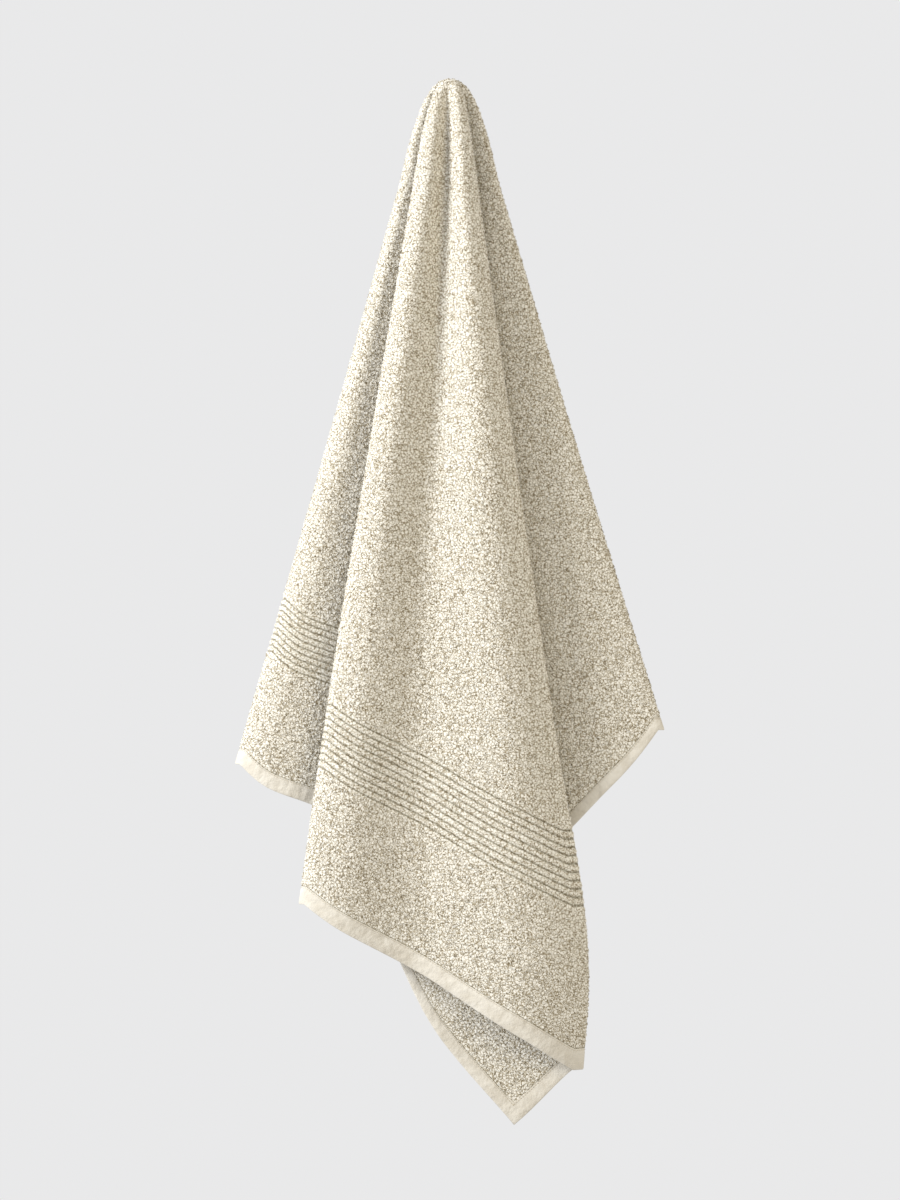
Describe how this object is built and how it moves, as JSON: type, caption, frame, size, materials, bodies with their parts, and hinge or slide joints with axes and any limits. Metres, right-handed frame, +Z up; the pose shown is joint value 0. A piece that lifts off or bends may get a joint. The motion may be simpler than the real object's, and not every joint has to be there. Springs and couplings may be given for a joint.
{
  "type": "bath sheet",
  "caption": "Cream terry bath sheet hanging from a hook in overlapping folds, with ribbed bands and flat woven hems.",
  "frame": {"origin": "underside of the cloth where it lies on the tip of the hook", "axes": "+Z up, front of the towel towards -Y, wall behind it towards +Y"},
  "size_m": [0.5054, 0.0874, 1.2296],
  "materials": {
    "bath_sheet": "looped cotton terry, matt"
  },
  "bodies": {
    "root": {"bath_sheet": "bath_sheet"}
  },
  "joints": []
}
